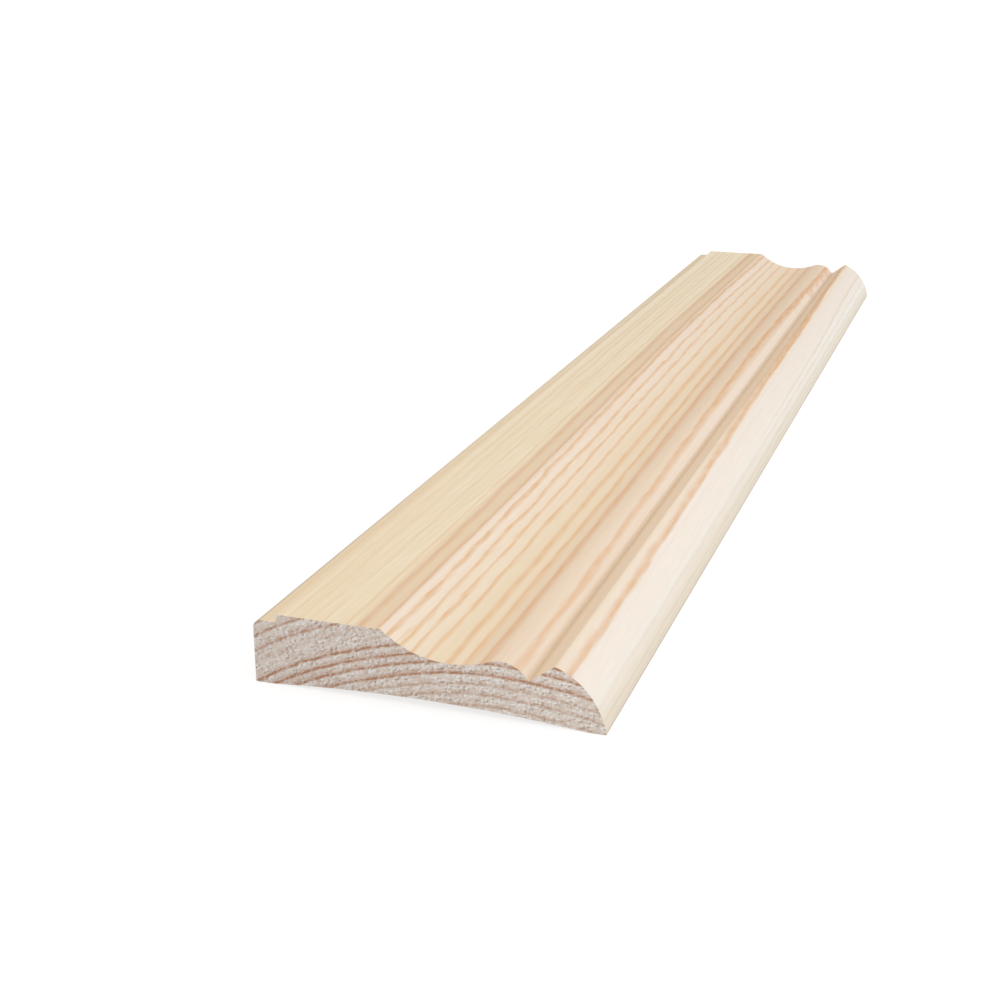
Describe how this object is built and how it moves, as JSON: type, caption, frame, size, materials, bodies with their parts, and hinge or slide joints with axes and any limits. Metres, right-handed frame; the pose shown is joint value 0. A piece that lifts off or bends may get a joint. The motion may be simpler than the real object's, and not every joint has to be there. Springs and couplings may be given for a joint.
{
  "type": "architrave",
  "caption": "Length of solid pine architrave: flat face with a low outer shelf, ogee, V quirk and ovolo inner edge, over a hollowed back.",
  "frame": {"origin": "on the plane of the back, in the middle of the width and of the length", "axes": "+X across the width from the thick outer edge to the thin inner edge, +Y along the length, +Z out of the moulded face, away from the wall"},
  "size_m": [0.07, 0.4, 0.0146],
  "materials": {
    "planed_pine": "planed and moulded, untreated, with sawn ends"
  },
  "bodies": {
    "root": {"architrave": "planed_pine"}
  },
  "joints": []
}
